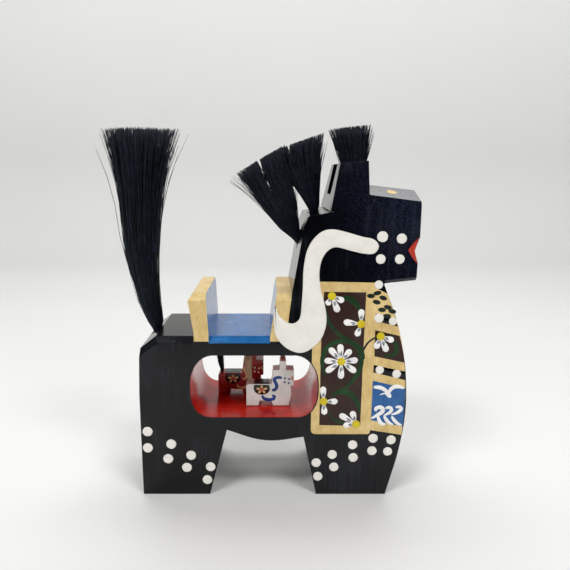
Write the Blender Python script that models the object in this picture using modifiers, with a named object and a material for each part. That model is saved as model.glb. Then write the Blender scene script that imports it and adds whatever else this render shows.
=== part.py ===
"""A sawn wooden toy horse with horsehair mane and tail and two foals in its belly.

The horse is one angular block cut from a plank.  A tunnel goes right through its belly,
and two loose foals stand in it.  The tail, the two mane tufts and the forelock are bound
bundles of hair, each set in a drilled hole.

All lengths are in metres.  X runs from the heel of the rear hoof towards the muzzle, Z is
up from the ground, and Y = 0 is the middle of the plank.
"""
import math

import bmesh
import bpy
from mathutils import Matrix, Vector

MM = 0.001

# Driving dimensions of the large block
THICKNESS = 56.0 * MM
REAR_HOOF = 36.8 * MM
FRONT_HOOF = 38.2 * MM
BLOCK_LENGTH = 146.3 * MM
BACK_HEIGHT = 90.0 * MM
SADDLE_HEIGHT = 113.0 * MM
LEDGE_HEIGHT = 153.0 * MM
EAR_HEIGHT = 180.9 * MM
MUZZLE_TOP = 165.8 * MM
TAIL_OVERHANG = 17.3 * MM

# Corners of the side view that the chamfers share: rump, seat and saddle boards
RUMP_REAR = (0.9 * MM, 83.2 * MM)
RUMP_TOP = (9.5 * MM, BACK_HEIGHT)
REAR_BOARD_FOOT = (29.9 * MM, BACK_HEIGHT)
REAR_BOARD_TOP = (36.6 * MM, SADDLE_HEIGHT)
SEAT_REAR = (37.8 * MM, BACK_HEIGHT)
SEAT_FRONT = (70.0 * MM, BACK_HEIGHT)
FRONT_BOARD_TOP = (73.5 * MM, SADDLE_HEIGHT)
NECK_FOOT = (81.3 * MM, SADDLE_HEIGHT)
THROAT = (128.8 * MM, 118.6 * MM)
CHIN = (145.4 * MM, 120.3 * MM)

# Large chamfers along the top edges, and the smaller one under the jaw
BACK_CHAMFER = 3.2 * MM
JAW_CHAMFER = 1.8 * MM

# The forehead: a flat strip along the middle with a shallow facet on each side.  It rises
# from the muzzle to the ears
EAR_FRONT = 120.3 * MM
EAR_REAR = 100.4 * MM
FOREHEAD_RISE = 3.0 * MM
STRIP_HALF_WIDTH = 11.0 * MM
FACET_DROP = 5.5 * MM

# The sides of the head lean inwards above this height
TAPER_START = 158.0 * MM
TAPER_INSET = 8.0 * MM

# The slot between the ears: its depth at the rear, and how fast its floor rises to the front
EAR_SLOT_WIDTH = 18.0 * MM
EAR_SLOT_DEPTH = 17.9 * MM
EAR_SLOT_SLOPE = 0.30

# The tunnel through the belly
TUNNEL_FLOOR = 45.3 * MM
TUNNEL_CEILING = 80.1 * MM
TUNNEL_REAR = 27.3 * MM
TUNNEL_FRONT = 95.5 * MM
TUNNEL_END_LENGTH = 12.8 * MM
TUNNEL_STEPS = 9

# A saw kerf left where the ears rise from the neck
KERF = 0.6 * MM

# How far cutters reach past the wood
CLEARANCE = 8.0 * MM

# Hair bundles: the drilled hole, the wall of the thread binding, and the fitting gap
HAIR_HOLE_RADIUS = 4.0 * MM
BINDING_WALL = 0.9 * MM
GAP = 0.3 * MM

# Each hair bundle: hole mouth (x, z), axis direction (x, z) and hole depth
TAIL_ROOT = ((5.4 * MM, 86.8 * MM), (-0.26, 0.97), 13.0 * MM)
NECK_ROOT = ((85.6 * MM, 138.9 * MM), (-0.64, 0.77), 15.0 * MM)
CREST_ROOT = ((94.0 * MM, 154.0 * MM), (-0.14, 0.99), 12.0 * MM)
FORELOCK_ROOT = ((115.9 * MM, 167.5 * MM), (-0.05, 1.0), 11.0 * MM)

# The foals
FOAL_THICKNESS = 8.7 * MM
FOAL_HEIGHT = 26.3 * MM
FOAL_HAIR_RADIUS = 0.8 * MM
WHITE_FOAL_PLACE = (56.6 * MM, -8.3 * MM)
RED_FOAL_PLACE = (39.3 * MM, 9.5 * MM)

# The origin lies under the middle of the whole length, tail included
ORIGIN_X = (BLOCK_LENGTH - TAIL_OVERHANG) / 2.0
HALF = THICKNESS / 2.0

LACQUER_BLACK = (0.008, 0.009, 0.010)
HAIR_BLACK = (0.006, 0.008, 0.011)
HAIR_BLOND = (0.42, 0.29, 0.17)
HAIR_CHESTNUT = (0.30, 0.12, 0.05)
THREAD_WHITE = (0.60, 0.57, 0.50)
PAINT_WHITE = (0.78, 0.75, 0.70)
PAINT_RED = (0.35, 0.012, 0.010)


def clear_scene():
    for item in list(bpy.data.objects):
        bpy.data.objects.remove(item, do_unlink=True)


def new_collection(name):
    group = bpy.data.collections.new(name)
    bpy.context.scene.collection.children.link(group)
    return group


def new_material(name, colour, roughness, metallic=0.0):
    material = bpy.data.materials.new(name)
    material.use_nodes = True
    shader = material.node_tree.nodes["Principled BSDF"]
    shader.inputs["Base Color"].default_value = (*colour, 1.0)
    shader.inputs["Roughness"].default_value = roughness
    shader.inputs["Metallic"].default_value = metallic
    return material


def add_object(name, mesh, group, material=None):
    item = bpy.data.objects.new(name, mesh)
    group.objects.link(item)
    if material is not None:
        mesh.materials.append(material)
    return item


def mesh_from(build, name):
    """A mesh filled by build(bm), with its faces turned outwards."""
    mesh = bpy.data.meshes.new(name)
    bm = bmesh.new()
    build(bm)
    bmesh.ops.recalc_face_normals(bm, faces=bm.faces)
    bm.to_mesh(mesh)
    bm.free()
    return mesh


def side_outline(name, points, half_thickness, group, y_middle=0.0):
    """A solid with the given side view.  A point is (x, z) at a corner or (x, z, True)
    where the outline passes smoothly."""
    curve = bpy.data.curves.new(name, "CURVE")
    curve.dimensions = "2D"
    curve.fill_mode = "BOTH"
    curve.extrude = half_thickness
    curve.resolution_u = 7
    spline = curve.splines.new("BEZIER")
    spline.bezier_points.add(len(points) - 1)
    for knot, point in zip(spline.bezier_points, points):
        knot.co = (point[0] - ORIGIN_X, point[1], 0.0)
        handle = "AUTO" if len(point) == 3 else "VECTOR"
        knot.handle_left_type = handle
        knot.handle_right_type = handle
    spline.use_cyclic_u = True
    drawing = bpy.data.objects.new(name, curve)
    group.objects.link(drawing)
    drawing.location.y = y_middle
    drawing.rotation_euler.x = math.radians(90.0)
    bpy.context.view_layer.update()
    evaluated = drawing.evaluated_get(bpy.context.evaluated_depsgraph_get())
    mesh = bpy.data.meshes.new_from_object(evaluated)
    mesh.transform(drawing.matrix_world)
    bpy.data.objects.remove(drawing)
    bm = bmesh.new()
    bm.from_mesh(mesh)
    bmesh.ops.remove_doubles(bm, verts=bm.verts, dist=0.01 * MM)
    bmesh.ops.recalc_face_normals(bm, faces=bm.faces)
    bm.to_mesh(mesh)
    bm.free()
    return add_object(name, mesh, group)


def make_cutter(item):
    item.hide_render = True
    item.display_type = "WIRE"
    return item


def cut(target, cutter):
    """Take the cutter out of the target with a Boolean modifier."""
    modifier = target.modifiers.new(cutter.name, "BOOLEAN")
    modifier.operation = "DIFFERENCE"
    modifier.solver = "EXACT"
    modifier.object = make_cutter(cutter)


def bar_mesh(name, size, matrix):
    """A box of the given size, placed by the matrix."""
    def build(bm):
        bmesh.ops.create_cube(bm, size=1.0, matrix=matrix @ Matrix.Diagonal((*size, 1.0)))
    return mesh_from(build, name)


def edge_frame(start, end):
    """Unit vectors along an outline edge and out of the wood, for a clockwise outline."""
    along = Vector((end[0] - start[0], 0.0, end[1] - start[1])).normalized()
    outward = Vector((-along.z, 0.0, along.x))
    if outward.z < 0.0:
        outward.negate()
    return along, outward


def chamfer_edge(target, name, start, end, size, group, below=False, extend=(0.0, 0.0)):
    """Chamfer the two long edges that lie over the outline edge from start to end."""
    along, outward = edge_frame(start, end)
    if below:
        outward.negate()
    first = Vector((start[0] - ORIGIN_X, 0.0, start[1])) - along * extend[0]
    last = Vector((end[0] - ORIGIN_X, 0.0, end[1])) + along * extend[1]
    length = (last - first).length
    width = size * math.sqrt(2.0) + 1.0 * MM
    depth = size / math.sqrt(2.0) + 0.4 * MM
    for side, label in ((-1.0, "near"), (1.0, "far")):
        sideways = Vector((0.0, side, 0.0))
        normal = (outward + sideways).normalized()
        across = normal.cross(along)
        rotation = Matrix((along, across, normal)).transposed().to_4x4()
        on_plane = (first + last) / 2.0 - outward * size / 2.0 + sideways * (HALF - size / 2.0)
        place = Matrix.Translation(on_plane + normal * depth / 2.0)
        mesh = bar_mesh(name, (length, width, depth), place @ rotation)
        cut(target, add_object(f"{name}_{label}", mesh, group))


def shaped_box(name, low, high, shape, group):
    """A box whose corners are then moved by shape(corner)."""
    def build(bm):
        centre = (Vector(low) + Vector(high)) / 2.0
        size = Vector(high) - Vector(low)
        matrix = Matrix.Translation(centre) @ Matrix.Diagonal((*size, 1.0))
        bmesh.ops.create_cube(bm, size=1.0, matrix=matrix)
        for corner in bm.verts:
            shape(corner)
    return add_object(name, mesh_from(build, name), group)


def kerf_cut(target, name, start, end, group):
    """A thin saw cut right through the plank, between two points of the side view."""
    along, outward = edge_frame(start, end)
    first = Vector((start[0] - ORIGIN_X, 0.0, start[1]))
    last = Vector((end[0] - ORIGIN_X, 0.0, end[1]))
    rotation = Matrix((along, Vector((0.0, 1.0, 0.0)), outward)).transposed().to_4x4()
    place = Matrix.Translation((first + last) / 2.0) @ rotation
    mesh = bar_mesh(name, ((last - first).length, THICKNESS * 1.2, KERF), place)
    cut(target, add_object(name, mesh, group))


def drill(target, name, mouth, direction, radius, depth, group, run_out=6.0 * MM):
    """A round blind hole whose axis leaves the wood along direction at mouth."""
    axis = Vector((direction[0], 0.0, direction[1])).normalized()
    middle = Vector((mouth[0] - ORIGIN_X, mouth[2], mouth[1])) + axis * (run_out - depth) / 2.0
    turn = Vector((0.0, 0.0, 1.0)).rotation_difference(axis).to_matrix().to_4x4()

    def build(bm):
        bmesh.ops.create_cone(bm, cap_ends=True, segments=20, radius1=radius, radius2=radius,
                              depth=depth + run_out, matrix=Matrix.Translation(middle) @ turn)
    cut(target, add_object(name, mesh_from(build, name), group))


def block_outline():
    """The horse's side view, from the heel round by the belly, chest, head and saddle."""
    front_heel = 95.4 * MM
    return [
        (0.0, 0.0),
        (REAR_HOOF, 0.0),
        (46.6 * MM, 38.0 * MM),
        (67.5 * MM, 32.0 * MM, True),
        (88.2 * MM, 34.0 * MM),
        (front_heel, 0.0),
        (front_heel + FRONT_HOOF, 0.0),
        (141.1 * MM, 32.0 * MM, True),
        (142.9 * MM, 60.0 * MM, True),
        (137.2 * MM, 95.5 * MM, True),
        THROAT,
        CHIN,
        (145.6 * MM, 129.5 * MM),
        (143.6 * MM, 135.7 * MM),
        (146.2 * MM, 142.7 * MM),
        (BLOCK_LENGTH, MUZZLE_TOP),
        (EAR_FRONT, MUZZLE_TOP + FOREHEAD_RISE),
        (EAR_FRONT, EAR_HEIGHT),
        (105.7 * MM, EAR_HEIGHT - 1.3 * MM),
        (EAR_REAR, LEDGE_HEIGHT + 2.3 * MM),
        (89.2 * MM, LEDGE_HEIGHT),
        (87.2 * MM, 147.4 * MM),
        NECK_FOOT,
        FRONT_BOARD_TOP,
        SEAT_FRONT,
        SEAT_REAR,
        REAR_BOARD_TOP,
        (29.6 * MM, SADDLE_HEIGHT),
        (27.2 * MM, SADDLE_HEIGHT - 3.3 * MM),
        (29.9 * MM, BACK_HEIGHT + 2.6 * MM),
        REAR_BOARD_FOOT,
        RUMP_TOP,
        RUMP_REAR,
        (0.0, 58.0 * MM),
    ]


def tunnel_outline():
    """A long slot whose ends are superellipses, squarer below than above."""
    middle = (TUNNEL_FLOOR + TUNNEL_CEILING) / 2.0
    half_height = (TUNNEL_CEILING - TUNNEL_FLOOR) / 2.0
    exponent_above = 2.1
    exponent_below = 2.6
    points = []
    for step in range(TUNNEL_STEPS * 4):
        turn = 2.0 * math.pi * (step + 0.5) / (TUNNEL_STEPS * 4)
        power = 2.0 / (exponent_above if math.sin(turn) > 0.0 else exponent_below)
        reach = TUNNEL_END_LENGTH * abs(math.cos(turn)) ** power
        height = half_height * math.copysign(abs(math.sin(turn)) ** power, math.sin(turn))
        if math.cos(turn) > 0.0:
            points.append((TUNNEL_FRONT - TUNNEL_END_LENGTH + reach, middle + height))
        else:
            points.append((TUNNEL_REAR + TUNNEL_END_LENGTH - reach, middle + height))
    return points


def foal_outline(heel_x, floor):
    """A foal's side view: the same horse, much simplified."""
    points = [
        (0.0, 0.0), (6.9, 0.0), (7.5, 3.0), (14.2, 2.8), (15.1, 0.0), (24.0, 0.0),
        (25.5, 6.8), (25.3, 10.6), (24.4, 11.2), (26.8, 12.0), (26.8, 20.9), (22.6, 21.1),
        (22.3, FOAL_HEIGHT / MM), (19.0, FOAL_HEIGHT / MM), (18.7, 21.2), (15.1, 21.0),
        (14.2, 12.8), (1.0, 12.8), (0.0, 11.5),
    ]
    return [(heel_x + x * MM, floor + z * MM) for x, z in points]


def lean_sides(side):
    """Corner mover that makes a box's inner side follow the leaning side of the head."""
    slope = TAPER_INSET / (EAR_HEIGHT - TAPER_START)

    def shape(corner):
        if abs(corner.co.y) < HALF + 1.0 * MM:
            corner.co.y = side * (HALF - slope * (corner.co.z - TAPER_START))
    return shape


def follow_facet(corner):
    """Corner mover that lays a box's underside on the shallow forehead facet."""
    forehead_slope = FOREHEAD_RISE / (BLOCK_LENGTH - EAR_FRONT)
    facet_slope = FACET_DROP / (HALF - STRIP_HALF_WIDTH)
    if corner.co.z < EAR_HEIGHT:
        strip = MUZZLE_TOP + forehead_slope * (BLOCK_LENGTH - ORIGIN_X - corner.co.x)
        corner.co.z = strip - facet_slope * (abs(corner.co.y) - STRIP_HALF_WIDTH)


def cut_head(block, cutters):
    """The leaning sides, the forehead facets and the slot between the ears."""
    rear = EAR_REAR - 2.0 * CLEARANCE
    front = BLOCK_LENGTH + CLEARANCE
    top = EAR_HEIGHT + CLEARANCE
    for side, label in ((-1.0, "near"), (1.0, "far")):
        outer = side * (HALF + CLEARANCE)
        inner = side * HALF
        low = (rear - ORIGIN_X, min(inner, outer), TAPER_START)
        high = (front - ORIGIN_X, max(inner, outer), top)
        cut(block, shaped_box(f"head_side_{label}", low, high, lean_sides(side), cutters))
        inner = side * STRIP_HALF_WIDTH
        low = (EAR_FRONT - ORIGIN_X, min(inner, outer), MUZZLE_TOP)
        high = (front - ORIGIN_X, max(inner, outer), top)
        cut(block, shaped_box(f"forehead_{label}", low, high, follow_facet, cutters))
    slot_rear = EAR_REAR - CLEARANCE
    slot_front = EAR_FRONT + CLEARANCE
    slot_floor = EAR_HEIGHT - EAR_SLOT_DEPTH
    slot = side_outline("ear_slot", [
        (slot_rear, slot_floor + EAR_SLOT_SLOPE * (slot_rear - EAR_REAR)),
        (slot_front, slot_floor + EAR_SLOT_SLOPE * (slot_front - EAR_REAR)),
        (slot_front, top),
        (slot_rear, top),
    ], EAR_SLOT_WIDTH / 2.0, cutters)
    cut(block, slot)


def cut_chamfers(block, cutters):
    """The wide chamfers on the back, seat, saddle boards and rump, and under the jaw."""
    size = BACK_CHAMFER
    overlap = 2.0 * MM
    past_end = 3.0 * MM
    chamfer_edge(block, "rump_chamfer", RUMP_REAR, RUMP_TOP, size, cutters,
                 extend=(past_end + overlap, overlap))
    chamfer_edge(block, "back_chamfer", RUMP_TOP, REAR_BOARD_FOOT, size, cutters,
                 extend=(overlap, 0.0))
    chamfer_edge(block, "seat_chamfer", SEAT_REAR, SEAT_FRONT, size, cutters,
                 extend=(0.1 * MM, 0.0))
    chamfer_edge(block, "rear_board_chamfer", (28.0 * MM, SADDLE_HEIGHT), REAR_BOARD_TOP,
                 size, cutters, extend=(past_end, past_end))
    chamfer_edge(block, "front_board_chamfer", FRONT_BOARD_TOP, NECK_FOOT, size, cutters,
                 extend=(past_end, -0.1 * MM))
    chamfer_edge(block, "jaw_chamfer", THROAT, CHIN, JAW_CHAMFER, cutters, below=True,
                 extend=(-0.4 * MM, past_end))


def make_block(group, cutters):
    block = side_outline("body_block", block_outline(), HALF, group)
    block.data.materials.append(new_material("black_lacquer", LACQUER_BLACK, 0.28))
    cut(block, side_outline("belly_tunnel", tunnel_outline(), HALF * 1.2, cutters))
    cut_head(block, cutters)
    cut_chamfers(block, cutters)
    kerf_cut(block, "kerf_ear", (99.0 * MM, LEDGE_HEIGHT + 2.35 * MM),
             (101.8 * MM, LEDGE_HEIGHT + 2.6 * MM), cutters)
    for name, (mouth, direction, depth) in (("tail", TAIL_ROOT), ("neck", NECK_ROOT),
                                            ("crest", CREST_ROOT), ("forelock", FORELOCK_ROOT)):
        drill(block, f"{name}_hole", (*mouth, 0.0), direction, HAIR_HOLE_RADIUS, depth, cutters)
    return block


def loft(name, rings, segments, group, material):
    """A closed solid through elliptical rings.  A ring is (centre, wide vector, deep radius):
    the wide vector lies in the XZ plane, and the deep radius is along Y."""
    def build(bm):
        loops = []
        for centre, wide, deep in rings:
            corners = []
            for step in range(segments):
                angle = 2.0 * math.pi * step / segments
                sideways = Vector((0.0, deep * math.sin(angle), 0.0))
                corners.append(bm.verts.new(centre + wide * math.cos(angle) + sideways))
            loops.append(corners)
        for lower, upper in zip(loops, loops[1:]):
            for step in range(segments):
                after = (step + 1) % segments
                bm.faces.new((lower[step], lower[after], upper[after], upper[step]))
        bm.faces.new(loops[0])
        bm.faces.new(reversed(loops[-1]))
    item = add_object(name, mesh_from(build, name), group, material)
    item.data.shade_smooth()
    item.data.set_sharp_from_angle(angle=math.radians(50.0))
    return item


def hair_tuft(name, root, spread, group, material, y_middle=0.0):
    """A bundle of hair: a straight round root inside its hole, then widening rings.
    A spread entry is (left point, right point, half depth), with points (x, z)."""
    mouth, direction, depth = root
    axis = Vector((direction[0], 0.0, direction[1])).normalized()
    across = Vector((axis.z, 0.0, -axis.x))
    radius = HAIR_HOLE_RADIUS - BINDING_WALL - 2.0 * GAP
    start = Vector((mouth[0] - ORIGIN_X, y_middle, mouth[1]))
    rings = [
        (start - axis * (depth - GAP), across * radius, radius),
        (start + axis * 0.5 * MM, across * radius, radius),
    ]
    for left, right, deep in spread:
        first = Vector((left[0] - ORIGIN_X, y_middle, left[1]))
        last = Vector((right[0] - ORIGIN_X, y_middle, right[1]))
        rings.append(((first + last) / 2.0, (last - first) / 2.0, deep))
    return loft(name, rings, 16, group, material)


def binding(name, root, group, material):
    """The thread wound round a bundle's root: a sleeve near the bottom of the hole."""
    mouth, direction, depth = root
    axis = Vector((direction[0], 0.0, direction[1])).normalized()
    outer = HAIR_HOLE_RADIUS - GAP
    inner = outer - BINDING_WALL
    length = 5.0 * MM
    bottom = 1.0 * MM
    bevel = 0.25 * MM
    profile = [
        (inner, length), (outer - bevel, length), (outer, length - bevel),
        (outer, bevel), (outer - bevel, 0.0), (inner, 0.0),
    ]
    mesh = bpy.data.meshes.new(name)
    edges = [(step, (step + 1) % len(profile)) for step in range(len(profile))]
    mesh.from_pydata([(radius, 0.0, height) for radius, height in profile], edges, [])
    item = add_object(name, mesh, group, material)
    screw = item.modifiers.new("turn", "SCREW")
    screw.steps = 20
    screw.render_steps = 20
    screw.use_merge_vertices = True
    screw.merge_threshold = 0.00001
    item.rotation_mode = "QUATERNION"
    item.rotation_quaternion = Vector((0.0, 0.0, 1.0)).rotation_difference(axis)
    start = Vector((mouth[0] - ORIGIN_X, 0.0, mouth[1]))
    item.location = start - axis * (depth - bottom)
    return item


def scaled(pairs):
    """Spread entries written in millimetres, in metres."""
    return [((a * MM, b * MM), (c * MM, d * MM), e * MM) for (a, b), (c, d), e in pairs]


def make_hair(group):
    """The four bundles of horsehair and their bindings."""
    black = new_material("black_horsehair", HAIR_BLACK, 0.45)
    thread = new_material("binding_thread", THREAD_WHITE, 0.8)
    hair_tuft("tail_hair", TAIL_ROOT, scaled([
        ((0.4, 91.0), (8.8, 91.6), 4.0),
        ((-5.0, 104.0), (7.8, 104.0), 5.6),
        ((-8.8, 121.0), (7.1, 121.0), 6.8),
        ((-11.7, 138.0), (7.9, 138.0), 8.2),
        ((-12.3, 160.0), (10.0, 160.0), 9.4),
        ((-14.2, 179.0), (12.8, 179.0), 11.4),
        ((-17.3, 197.6), (18.0, 197.6), 14.6),
    ]), group, black)
    hair_tuft("neck_mane_hair", NECK_ROOT, scaled([
        ((80.6, 140.6), (86.1, 147.3), 4.2),
        ((74.9, 145.4), (85.4, 151.4), 5.0),
        ((65.4, 157.6), (82.9, 160.7), 6.8),
        ((58.9, 167.1), (78.9, 172.6), 8.2),
        ((53.6, 175.4), (75.0, 187.2), 9.8),
    ]), group, black)
    hair_tuft("crest_mane_hair", CREST_ROOT, scaled([
        ((90.4, 156.4), (97.0, 156.8), 3.4),
        ((87.8, 161.3), (97.0, 162.8), 4.4),
        ((81.9, 171.2), (97.0, 173.6), 6.4),
        ((78.6, 180.6), (97.1, 184.2), 8.0),
        ((77.9, 188.5), (97.2, 195.0), 9.2),
    ]), group, black)
    hair_tuft("forelock_hair", FORELOCK_ROOT, scaled([
        ((111.2, 171.6), (120.9, 172.6), 4.2),
        ((107.8, 181.4), (121.5, 182.0), 5.6),
        ((102.5, 197.4), (122.2, 199.6), 8.0),
    ]), group, black)
    for name, root in (("tail", TAIL_ROOT), ("neck_mane", NECK_ROOT),
                       ("crest_mane", CREST_ROOT), ("forelock", FORELOCK_ROOT)):
        binding(f"{name}_binding", root, group, thread)


def make_foal(colour, place, paint, tail_colour, forelock_colour, group, cutters):
    """A sawn foal with its own tail and forelock, standing on the tunnel's floor."""
    heel_x, y_middle = place
    floor = TUNNEL_FLOOR + GAP
    block = side_outline(f"{colour}_foal_block", foal_outline(heel_x, floor),
                         FOAL_THICKNESS / 2.0, group, y_middle)
    block.data.materials.append(new_material(f"{colour}_foal_paint", paint, 0.35))
    hole = FOAL_HAIR_RADIUS + GAP
    depth = 3.0 * MM
    tufts = (
        ("tail", (2.2, 12.8), (-0.08, 1.0), tail_colour,
         (((0.9, 14.5), (3.3, 14.5), 1.1), ((-0.4, 19.0), (3.0, 19.0), 1.5),
          ((-0.9, 24.0), (3.0, 24.0), 1.8), ((-0.8, 29.4), (2.9, 29.4), 1.9))),
        ("forelock", (20.7, FOAL_HEIGHT / MM), (0.0, 1.0), forelock_colour,
         (((19.7, 27.4), (21.7, 27.4), 1.0), ((19.2, 30.2), (22.2, 30.2), 1.4))),
    )
    for part, mouth, direction, hair_colour, spread in tufts:
        at = (heel_x + mouth[0] * MM, floor + mouth[1] * MM)
        drill(block, f"{colour}_foal_{part}_hole", (*at, y_middle), direction, hole, depth,
              cutters, run_out=2.0 * MM)
        axis = Vector((direction[0], 0.0, direction[1])).normalized()
        across = Vector((axis.z, 0.0, -axis.x))
        start = Vector((at[0] - ORIGIN_X, y_middle, at[1]))
        rings = [
            (start - axis * (depth - GAP), across * FOAL_HAIR_RADIUS, FOAL_HAIR_RADIUS),
            (start + axis * 0.4 * MM, across * FOAL_HAIR_RADIUS, FOAL_HAIR_RADIUS),
        ]
        for left, right, deep in spread:
            middle = Vector((heel_x - ORIGIN_X + (left[0] + right[0]) / 2.0 * MM, y_middle,
                             floor + left[1] * MM))
            half_width = Vector(((right[0] - left[0]) / 2.0 * MM, 0.0, 0.0))
            rings.append((middle, half_width, deep * MM))
        hair = new_material(f"{colour}_foal_{part}_hair", hair_colour, 0.5)
        loft(f"{colour}_foal_{part}", rings, 12, group, hair)


def main():
    clear_scene()
    group = new_collection("hair_maned_toy_horse")
    cutters = new_collection("toy_horse_cutters")
    make_block(group, cutters)
    make_hair(group)
    make_foal("white", WHITE_FOAL_PLACE, PAINT_WHITE, HAIR_BLOND, HAIR_CHESTNUT, group, cutters)
    make_foal("red", RED_FOAL_PLACE, PAINT_RED, HAIR_BLACK, HAIR_BLACK, group, cutters)


main()
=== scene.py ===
"""Looks of the sawn toy horse: lacquer, raised paint, horsehair, two foals, floor and light.

Paint places are in millimetres in the side view: x runs from the heel of the rear hoof
towards the muzzle, and z is up from the ground.  The CAD block's bounds give the heel and the
faces.
"""
import math
import random

import bmesh
import bpy
import numpy as np
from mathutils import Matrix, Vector


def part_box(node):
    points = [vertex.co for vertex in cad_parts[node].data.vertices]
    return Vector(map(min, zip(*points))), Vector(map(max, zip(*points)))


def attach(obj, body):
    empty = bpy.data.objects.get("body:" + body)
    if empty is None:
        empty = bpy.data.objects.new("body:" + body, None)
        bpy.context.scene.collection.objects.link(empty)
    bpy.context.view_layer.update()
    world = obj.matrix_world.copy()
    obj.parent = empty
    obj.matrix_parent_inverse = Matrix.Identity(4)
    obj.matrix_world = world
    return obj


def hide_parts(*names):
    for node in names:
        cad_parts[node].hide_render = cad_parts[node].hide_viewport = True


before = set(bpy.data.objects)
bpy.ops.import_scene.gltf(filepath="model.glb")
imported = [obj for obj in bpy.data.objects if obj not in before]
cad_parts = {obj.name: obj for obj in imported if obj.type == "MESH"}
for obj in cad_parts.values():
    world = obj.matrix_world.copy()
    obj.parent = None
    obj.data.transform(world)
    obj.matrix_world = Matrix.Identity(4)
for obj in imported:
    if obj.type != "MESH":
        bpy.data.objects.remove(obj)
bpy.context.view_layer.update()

MM = 0.001
BLOCK_LOW, BLOCK_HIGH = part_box("body_block")
HEEL = BLOCK_LOW.x
HALF = BLOCK_HIGH.y
NEAR, FAR = -1.0, 1.0
SIDES = ((NEAR, "near"), (FAR, "far"))

# Heights of the block, and the spans along x of its saddle
BACK = 90.0
BACK_CHAMFER = 3.2
SADDLE = 113.0
REAR_BOARD = (27.0, 38.0)
SEAT = (37.7, 70.3)
FRONT_BOARD = (69.0, 81.4)

# The gold on the front board's side ends, towards the neck, at a line through these places
BOARD_TOP = (81.3, SADDLE)
BOARD_FOOT = (79.3, 96.0)

# The tunnel through the belly: rear, floor, front and roof, and how round its ends are
TUNNEL = (27.2, 45.2, 95.6, 80.2)
TUNNEL_END = 12.8
TUNNEL_POWER_BELOW, TUNNEL_POWER_ABOVE = 2.6, 2.1

# The notch of the mouth across the muzzle's front: where it starts, its foot and its top
MOUTH_NOTCH = (143.0, 129.4, 142.8)

# Radii of the blocks' softened edges
BLOCK_SOFTNESS = 0.35
FOAL_SOFTNESS = 0.22

# Material slots of the horse's block
LACQUER_SLOT, GOLD_SLOT, BLUE_SLOT, RED_SLOT, LIP_SLOT = range(5)


# -------- materials

def srgb(code):
    """The linear colour of a hexadecimal display colour."""
    parts = [int(code[i:i + 2], 16) / 255.0 for i in (0, 2, 4)]
    linear = [c / 12.92 if c <= 0.04045 else ((c + 0.055) / 1.055) ** 2.4 for c in parts]
    return (*linear, 1.0)


class Nodes:
    """Short calls for building one material's node tree."""

    def __init__(self, name):
        self.material = bpy.data.materials.new(name)
        self.material.use_nodes = True
        self.tree = self.material.node_tree
        self.shader = self.tree.nodes["Principled BSDF"]
        self.place = self.tree.nodes.new("ShaderNodeTexCoord").outputs["Object"]

    def fill(self, sockets, values):
        """Set each socket to a constant, or link it to another node's output."""
        for name, value in values.items():
            if isinstance(value, bpy.types.NodeSocket):
                self.tree.links.new(value, sockets[name])
            else:
                sockets[name].default_value = value

    def add(self, kind, output, values, **settings):
        """One output of a new node with these input values and settings."""
        node = self.tree.nodes.new(f"ShaderNode{kind}")
        for name, value in settings.items():
            setattr(node, name, value)
        self.fill(node.inputs, values)
        return node.outputs[output]

    def stretched(self, scale):
        return self.add("Mapping", "Vector", {"Vector": self.place, "Scale": scale})

    def part(self, axis):
        """The object coordinate along one axis, in metres."""
        return self.add("SeparateXYZ", axis, {"Vector": self.place})

    def noise(self, vector, scale, detail, roughness, distortion=0.0):
        return self.add("TexNoise", "Fac", {
            "Vector": vector, "Scale": scale, "Detail": detail, "Roughness": roughness,
            "Distortion": distortion})

    def ramp(self, factor, stops):
        node = self.tree.nodes.new("ShaderNodeValToRGB")
        elements = node.color_ramp.elements
        while len(elements) < len(stops):
            elements.new(0.5)
        for element, (position, colour) in zip(elements, stops):
            element.position = position
            element.color = colour
        self.fill(node.inputs, {"Fac": factor})
        return node.outputs["Color"]

    def remap(self, factor, low, high, start=0.3, end=0.7):
        return self.add("MapRange", "Result", {
            "Value": factor, "From Min": start, "From Max": end, "To Min": low,
            "To Max": high})

    def math(self, operation, first, second):
        return self.add("Math", "Value", {0: first, 1: second}, operation=operation)

    def blend(self, first, first_share, second):
        """Two factors added, the second with the share that the first leaves."""
        return self.math("ADD", self.math("MULTIPLY", first, first_share),
                         self.math("MULTIPLY", second, 1.0 - first_share))

    def mix(self, factor, first, second, blend):
        return self.add("Mix", 2, {0: factor, 6: first, 7: second}, data_type="RGBA",
                        blend_type=blend)

    def bump(self, height, depth):
        """A normal for a relief of so many millimetres."""
        return self.add("Bump", "Normal", {"Height": height, "Strength": 1.0,
                                           "Distance": depth * MM})

    def finish(self, colour, roughness, normal, **constants):
        self.fill(self.shader.inputs, {"Base Color": colour, "Roughness": roughness,
                                       "Normal": normal})
        for name, value in constants.items():
            self.shader.inputs[name.replace("_", " ")].default_value = value
        return self.material


# How much of a paint's colour follows the brush
STREAKS = 0.35


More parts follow.
